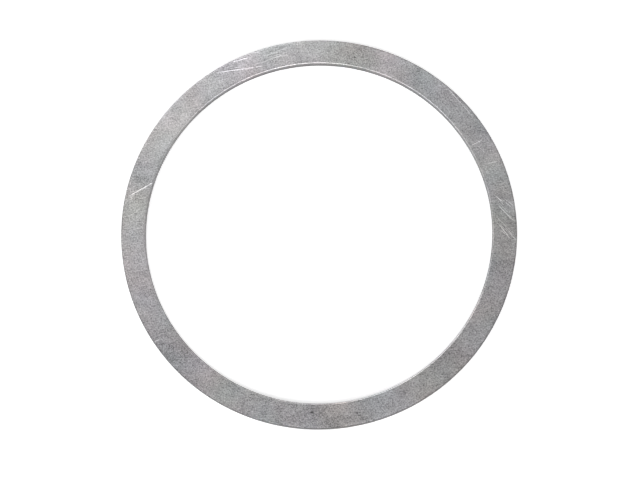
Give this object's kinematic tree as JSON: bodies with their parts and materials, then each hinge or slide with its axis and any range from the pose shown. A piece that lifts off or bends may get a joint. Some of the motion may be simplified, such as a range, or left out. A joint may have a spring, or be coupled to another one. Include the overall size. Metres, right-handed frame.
{
  "type": "shim ring",
  "caption": "Thin flat blanked steel ring with a wide bore and a narrow band, laid on a shaft or in a housing to take up end play.",
  "frame": {"origin": "centre of the bore on the lower face, which the ring lies on", "axes": "+Z along the bore axis, from the lower face to the upper face, where the bore has its die roll; X and Y are alike, because the ring is round"},
  "size_m": [0.08, 0.08, 0.002],
  "materials": {
    "steel": "tumbled matt grey steel with fine mottle and a few handling scratches"
  },
  "bodies": {
    "root": {"shim_ring": "steel"}
  },
  "joints": []
}
